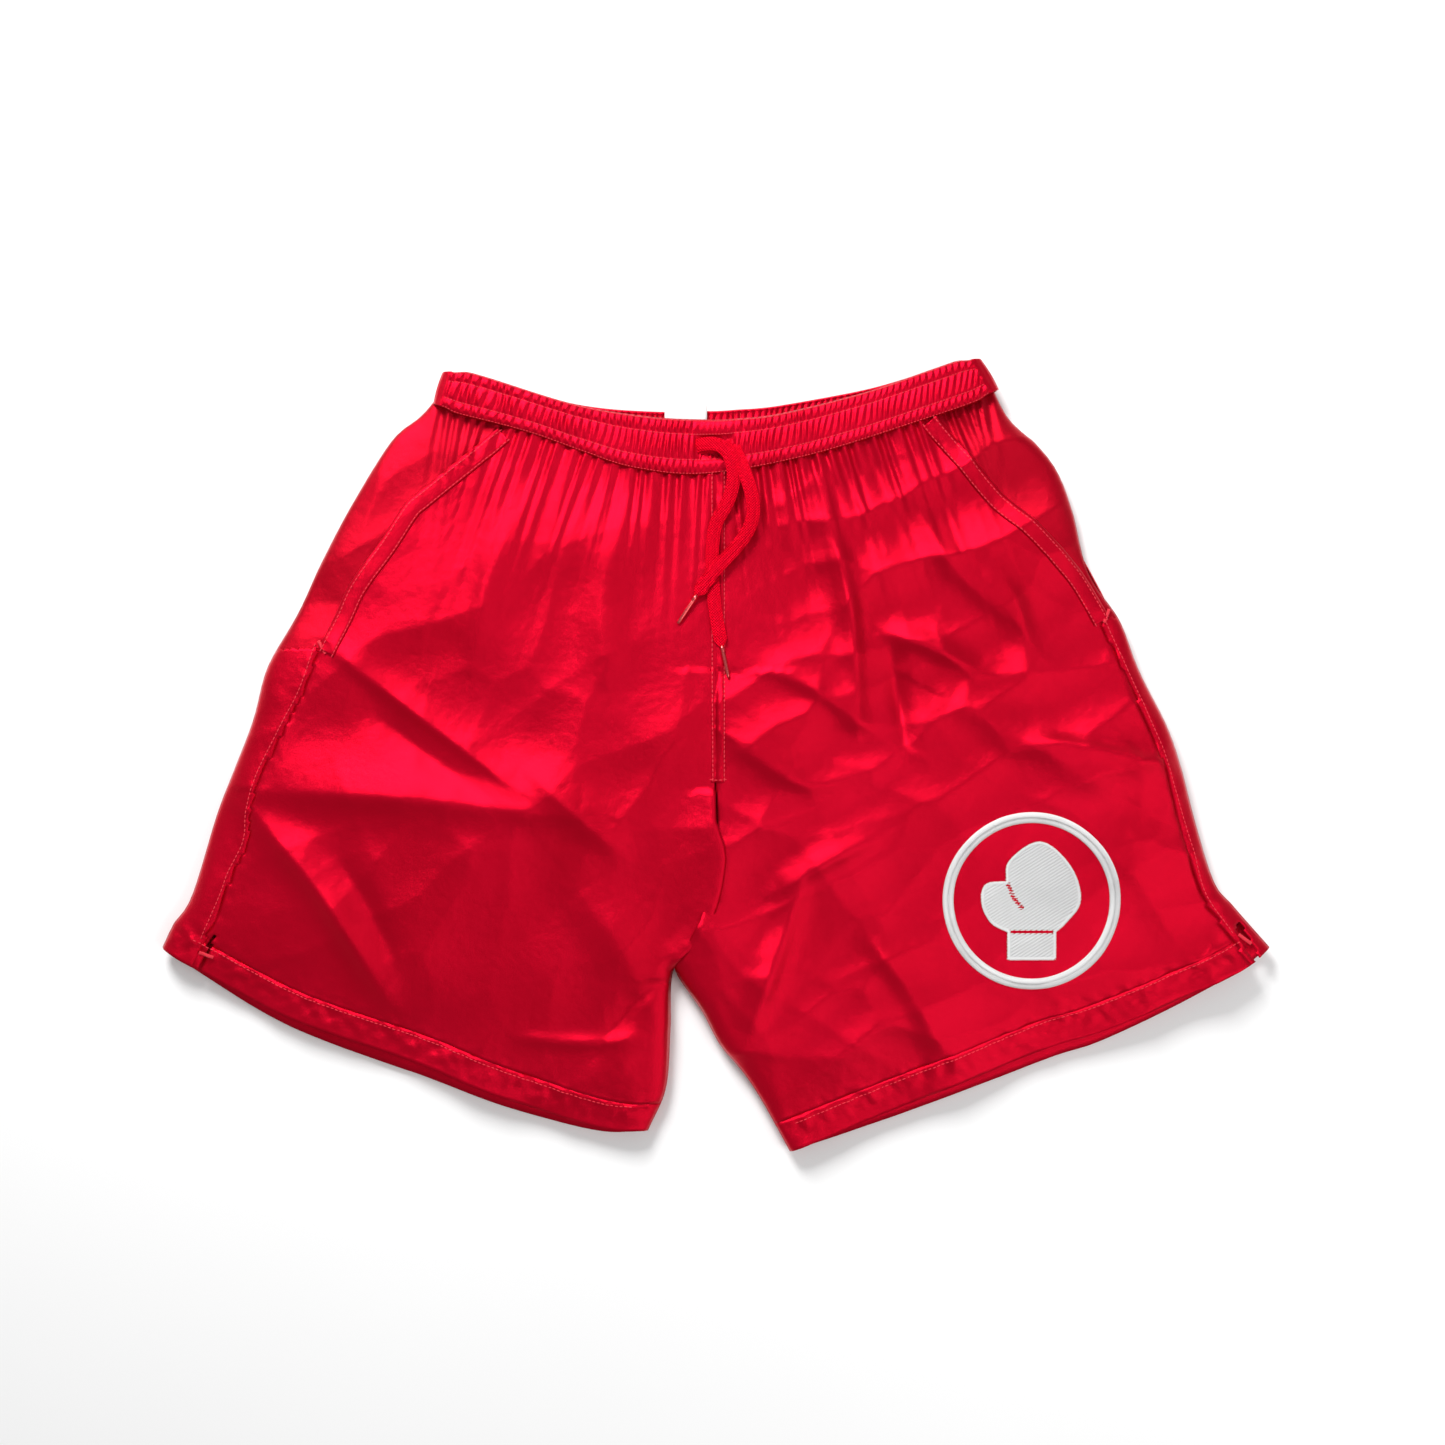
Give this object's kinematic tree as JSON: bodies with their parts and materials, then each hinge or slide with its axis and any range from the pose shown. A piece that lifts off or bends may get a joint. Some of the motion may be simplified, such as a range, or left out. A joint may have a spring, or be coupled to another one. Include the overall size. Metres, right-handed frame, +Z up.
{
  "type": "boxing shorts",
  "caption": "Glossy red boxing shorts laid flat: ruched elastic waistband with a flat drawcord, slant pockets, mock fly, side vents and a round embroidered emblem.",
  "frame": {"origin": "under the middle of the garment, on the surface that it lies on", "axes": "+X to the viewer's right, +Y from the hems towards the waist, +Z up out of the front"},
  "size_m": [0.732, 0.52, 0.0268],
  "materials": {
    "red_cloth": "glossy plain-woven nylon taffeta",
    "red_thread": "dense bartack of polyester thread",
    "pocket_lining": "thin matt lining taffeta",
    "elastic": "woven elastic webbing",
    "cord": "flat braided polyester cord",
    "aglet_metal": "small crimped metal tip",
    "label_tape": "white satin label tape",
    "embroidery": "white satin-stitch thread"
  },
  "bodies": {
    "shorts": {"back_panel_left": "red_cloth", "back_panel_right": "red_cloth", "care_label": "label_tape", "drawcord_run": "cord", "emblem_motif": "embroidery", "emblem_ring": "embroidery", "fly_placket": "red_cloth", "front_panel_left": "red_cloth", "front_panel_right": "red_cloth", "hem_back_left": "red_cloth", "hem_back_right": "red_cloth", "hem_front_left": "red_cloth", "hem_front_right": "red_cloth", "pocket_bag_left": "pocket_lining", "pocket_bag_right": "pocket_lining", "pocket_facing_left": "red_cloth", "pocket_facing_right": "red_cloth", "pocket_tack_left": "red_thread", "pocket_tack_right": "red_thread", "pocket_welt_left": "red_cloth", "pocket_welt_right": "red_cloth", "vent_tack_left": "red_thread", "vent_tack_right": "red_thread", "waist_elastic": "elastic", "waistband_back": "red_cloth", "waistband_front": "red_cloth"},
    "drawcord_left": {"drawcord_tail_left": "cord", "aglet_left": "aglet_metal"},
    "drawcord_right": {"drawcord_tail_right": "cord", "aglet_right": "aglet_metal"}
  },
  "joints": [
    {"name": "tail_left_swing", "type": "hinge", "parent": "shorts", "child": "drawcord_left", "pos_m": [-0.013, 0.2023, 0.0232], "axis": [0, 0, 1], "range_deg": [-20, 4]},
    {"name": "tail_right_swing", "type": "hinge", "parent": "shorts", "child": "drawcord_right", "pos_m": [0.0112, 0.2023, 0.0256], "axis": [0, 0, 1], "range_deg": [-4, 20]}
  ]
}
